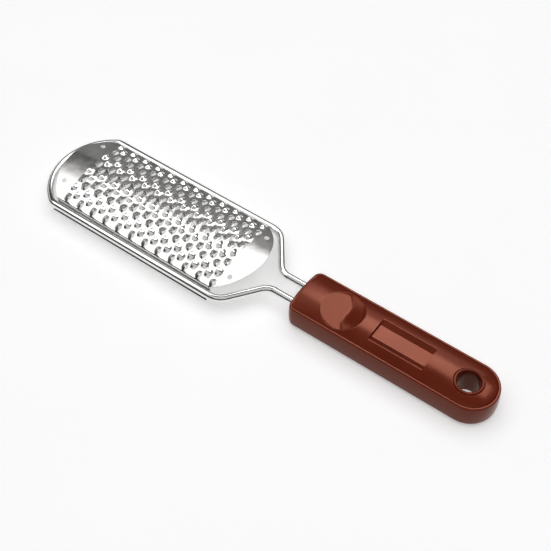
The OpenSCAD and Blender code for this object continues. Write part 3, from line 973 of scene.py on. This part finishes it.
class FOOTFILE_OT_handle_tray(bpy.types.Operator):
    """Moulds the lower shell with its rim, its ledge and the tube of the hang hole"""

    bl_idname = "foot_file.handle_tray"
    bl_label = "Handle Tray"

    def execute(self, context):
        handle = context.scene.foot_file_handle
        shape = CoverShape(handle)
        shell = [raised(shape.plan.ring(inset), z) for inset, z in tray_profile(handle)]
        tube = hole_rings(handle, shape)
        skin = Skin()
        skin.loft(shell)
        skin.loft(tube)
        skin.fill(shell[0], tube[-1], [], False, 0)
        skin.fill(shell[-1], tube[0], [], True, handle.floor)
        piece = make_piece("handle_tray", skin, plastic_material(handle), weld=True)
        self.cut_seats(piece, context.scene.foot_file_wire)
        dress(piece, "handle_lower")
        return {"FINISHED"}

    def cut_seats(self, piece, wire):
        """Opens the front wall where the two tangs run in."""
        start = lower_low.x - SEAT_START
        for side in (-1, 1):
            y = side * wire.tang_spacing / 2
            path = [(start, y), (start + SEAT_LENGTH, y)]
            rod = sweep_rod(path, ROD_HEIGHT, wire.rod_radius + SEAT_GAP, SEAT_SIDES)
            cutter = make_piece("seat_cutter", rod, piece.data.materials[0])
            cut = piece.modifiers.new("seat", "BOOLEAN")
            cut.operation = "DIFFERENCE"
            cut.solver = "EXACT"
            cut.object = cutter
            settle_modifiers(piece)
            bpy.data.objects.remove(cutter)


def special_values(values, creases, spread):
    """The even values with a close pair on each crease in place of their neighbours."""
    kept = [v for v in values if all(abs(v - c) > 2 * spread for c in creases)]
    return sorted(kept + [c + side * spread for c in creases for side in (-1, 1)])


class FOOTFILE_OT_handle_cover(bpy.types.Operator):
    """Moulds the crowned cover with the thumb recess, the bare label recess and the hole's collar"""

    bl_idname = "foot_file.handle_cover"
    bl_label = "Handle Cover"

    def execute(self, context):
        handle = context.scene.foot_file_handle
        shape = CoverShape(handle)
        ring = shape.plan.ring
        inset = handle.rim_inset + handle.rim_lip + COVER_GAP
        under_inset = inset + handle.ledge
        bottom = handle.ledge_height + COVER_GAP
        border = [raised(ring(under_inset), bottom), raised(ring(inset), bottom)]
        edge = handle.cover_edge
        for inward, upward in arc(0, 0, edge, 0, QUARTER_TURN, EDGE_STEPS):
            border.append(raised(ring(inset + edge - inward), shape.top, upward - edge))
        collar = []
        collar_r = handle.hang_radius + handle.ring_width + COVER_GAP
        lip = COLLAR_EDGE
        for inward, upward in arc(0, 0, lip, QUARTER_TURN, -QUARTER_TURN, EDGE_STEPS):
            collar.append(raised(shape.hole_circle(collar_r + lip - inward), shape.top, upward - lip))
        collar.append(raised(shape.hole_circle(collar_r), shape.crown, -handle.cover_thickness))
        skin = Skin()
        skin.loft(border)
        skin.loft(collar)
        inside = self.top_points(shape, inset + edge, collar_r + lip)
        skin.fill(border[-1], collar[0], inside, True, shape.top)
        outer = ring(under_inset)
        skin.loft([raised(outer, shape.crown, -handle.cover_thickness), raised(outer, bottom)])
        inside = self.under_points(shape, under_inset, collar_r)
        skin.fill(outer, shape.hole_circle(collar_r), inside, False, shape.top, -handle.cover_thickness)
        piece = make_piece("handle_cover", skin, plastic_material(handle), weld=True)
        dress(piece, "handle_upper")
        return {"FINISHED"}

    def grid_points(self, shape, columns, lines, inset, hole_r):
        """The points of a grid that lie inside the outline and outside the hole."""
        points = []
        for x in columns:
            for y in lines:
                if shape.plan.holds(x, y, inset) and math.hypot(x - shape.hang_x, y) > hole_r:
                    points.append((x, y))
        return points

    def top_points(self, shape, inset, hole_r):
        """Points of the top's mesh: a grid that follows the label recess, and rings at the thumb recess."""
        handle = shape.handle
        plan = shape.plan
        step = COVER_STEP
        crown_drop = shape.crown(shape.label_mid, 0) - shape.crown(shape.label_mid, handle.label_mouth / 2)
        mouth = handle.label_mouth / 2 - crown_drop / shape.label_slope
        creases = [side * y for side in (-1, 1) for y in (handle.label_floor / 2, mouth)]
        lines = special_values(even(-plan.half, plan.half, step), creases, step / 5)
        ends = [shape.label_mid + side * (handle.label_length - handle.label_end) / 2 for side in (-1, 1)]
        columns = even(plan.front_x, plan.rear_x + plan.half, step)
        columns = special_values(columns, ends, handle.label_end / 2)
        points = []
        outer = handle.thumb_radius + step / 2
        inner = handle.thumb_radius - handle.thumb_wall - step / 2
        for x, y in self.grid_points(shape, columns, lines, inset + step / 2, hole_r + step / 2):
            if not inner < math.hypot(x - handle.thumb_place, y) < outer:
                points.append((x, y))
        for i in range(THUMB_RINGS + 1):
            radius = handle.thumb_radius + step / 8 - (handle.thumb_wall + step / 4) * i / THUMB_RINGS
            circle = arc(handle.thumb_place, 0, radius, 0, FULL_TURN, THUMB_SIDES)[:-1]
            points += [(x, y) for x, y in circle if plan.holds(x, y, inset + step / 2)]
        return points

    def under_points(self, shape, inset, hole_r):
        """Points of the hollow face under the cover, in a wider grid."""
        plan = shape.plan
        step = 4 * COVER_STEP
        columns = even(plan.front_x, plan.rear_x + plan.half, step)
        lines = even(-plan.half, plan.half, step)
        return self.grid_points(shape, columns, lines, inset + step / 2, hole_r + step / 2)


# The studio


def area_lamp(name, width, depth, place, along, brightness):
    """A soft lamp that faces down, its depth along a direction in plan."""
    data = bpy.data.lights.new(name, "AREA")
    data.shape = "RECTANGLE"
    data.size = width
    data.size_y = depth
    data.energy = brightness * math.pi * width * depth
    lamp = bpy.data.objects.new(name, data)
    bpy.context.scene.collection.objects.link(lamp)
    y_axis = Vector((*along, 0)).normalized()
    z_axis = Vector((0, 0, 1))
    turned = Matrix((y_axis.cross(z_axis), y_axis, z_axis)).transposed().to_4x4()
    lamp.matrix_world = Matrix.Translation(place) @ turned
    return lamp


def floor_material(studio):
    """White paper: plainly lit, brighter to the camera and in reflections, most of all past the lamps."""
    material, tree, shader = new_material("studio_paper")
    rays = add_node(tree, "LightPath").outputs
    seen = calculate(tree, "MAXIMUM", rays["Is Camera Ray"], rays["Is Glossy Ray"])
    seen = calculate(tree, "MAXIMUM", seen, rays["Is Transmission Ray"])
    place = add_node(tree, "TexCoord").outputs["Object"]
    away = add_node(tree, "VectorMath", {0: place}, operation="LENGTH").outputs["Value"]
    values = {
        "Value": away,
        "From Min": studio.lit_radius,
        "From Max": studio.dark_radius,
        "To Min": studio.paper_boost,
        "To Max": studio.far_boost,
    }
    boost = add_node(tree, "MapRange", values).outputs["Result"]
    values = {
        "Base Color": tinted(tree, 8, studio.paper, spread=0.01),
        "Roughness": 1,
        "Specular IOR Level": 0,
        "Emission Color": (1, 1, 1, 1),
        "Emission Strength": calculate(tree, "MULTIPLY", seen, boost),
    }
    set_inputs(tree, shader, values)
    return material


class FOOTFILE_OT_studio(bpy.types.Operator):
    """Sets up the floor, the lamps, the surroundings and the camera"""

    bl_idname = "foot_file.studio"
    bl_label = "Studio"

    def execute(self, context):
        studio = context.scene.foot_file_studio
        self.add_floor(studio)
        self.add_lamps(studio)
        self.add_world(context, studio)
        self.add_camera(context, studio)
        context.scene.view_settings.view_transform = "Standard"
        return {"FINISHED"}

    def add_floor(self, studio):
        half = studio.floor_size / 2
        paper = Skin()
        paper.places = [(-half, -half, 0), (half, -half, 0), (half, half, 0), (-half, half, 0)]
        paper.faces = [(0, 1, 2, 3)]
        floor = make_piece("studio_floor", paper, floor_material(studio))

    def add_lamps(self, studio):
        for name, width, depth, place, along, setting in MIRRORED_LAMPS:
            lamp = area_lamp(name, width, depth, Vector(place), along, getattr(studio, setting))
            lamp.visible_diffuse = False
        above = Vector((0, 0, SOFT_HEIGHT))
        soft = area_lamp("soft_lamp", SOFT_SIZE, SOFT_SIZE, above, (0, 1), studio.soft_light)
        soft.visible_glossy = False

    def add_world(self, context, studio):
        world = bpy.data.worlds.new("studio_world")
        world.use_nodes = True
        background = world.node_tree.nodes["Background"]
        background.inputs["Color"].default_value = (1, 1, 1, 1)
        background.inputs["Strength"].default_value = studio.sky
        context.scene.world = world

    def add_camera(self, context, studio):
        data = bpy.data.cameras.new("studio_camera")
        data.lens = studio.lens
        data.sensor_width = SENSOR_WIDTH
        camera = bpy.data.objects.new("studio_camera", data)
        context.scene.collection.objects.link(camera)
        turn, rise = studio.camera_azimuth, studio.camera_height
        back = Vector((math.sin(turn) * math.cos(rise), -math.cos(turn) * math.cos(rise), math.sin(rise)))
        right = Vector((math.cos(turn), math.sin(turn), 0))
        turned = Matrix((right, back.cross(right), back)).transposed().to_4x4()
        place = Vector((studio.target_x, studio.target_y, 0)) + back * studio.camera_distance
        camera.matrix_world = Matrix.Translation(place) @ turned
        context.scene.camera = camera


# Panel and registration


class FOOTFILE_PT_sidebar(bpy.types.Panel):
    """Lists the pieces and their settings"""

    bl_label = "Foot File"
    bl_idname = "FOOTFILE_PT_sidebar"
    bl_space_type = "VIEW_3D"
    bl_region_type = "UI"
    bl_category = "Foot File"

    def draw(self, context):
        for operator, group in PIECES:
            box = self.layout.box()
            box.operator(operator.bl_idname)
            settings = getattr(context.scene, group)
            for name in settings.__annotations__:
                box.prop(settings, name)


PIECES = [
    (FOOTFILE_OT_wire_loop, "foot_file_wire"),
    (FOOTFILE_OT_rasp_sheet, "foot_file_plate"),
    (FOOTFILE_OT_handle_tray, "foot_file_handle"),
    (FOOTFILE_OT_handle_cover, "foot_file_handle"),
    (FOOTFILE_OT_studio, "foot_file_studio"),
]
SETTINGS = {
    "foot_file_wire": WireSettings,
    "foot_file_plate": PlateSettings,
    "foot_file_handle": HandleSettings,
    "foot_file_studio": StudioSettings,
}


def register():
    for name, settings in SETTINGS.items():
        bpy.utils.register_class(settings)
        setattr(bpy.types.Scene, name, PointerProperty(type=settings))
    for operator, _ in PIECES:
        bpy.utils.register_class(operator)
    bpy.utils.register_class(FOOTFILE_PT_sidebar)


def unregister():
    bpy.utils.unregister_class(FOOTFILE_PT_sidebar)
    for operator, _ in reversed(PIECES):
        bpy.utils.unregister_class(operator)
    for name, settings in reversed(SETTINGS.items()):
        delattr(bpy.types.Scene, name)
        bpy.utils.unregister_class(settings)


def main():
    """Builds every piece and the studio."""
    register()
    bpy.ops.foot_file.wire_loop()
    bpy.ops.foot_file.rasp_sheet()
    bpy.ops.foot_file.handle_tray()
    bpy.ops.foot_file.handle_cover()
    bpy.ops.foot_file.studio()


if __name__ == "__main__":
    main()
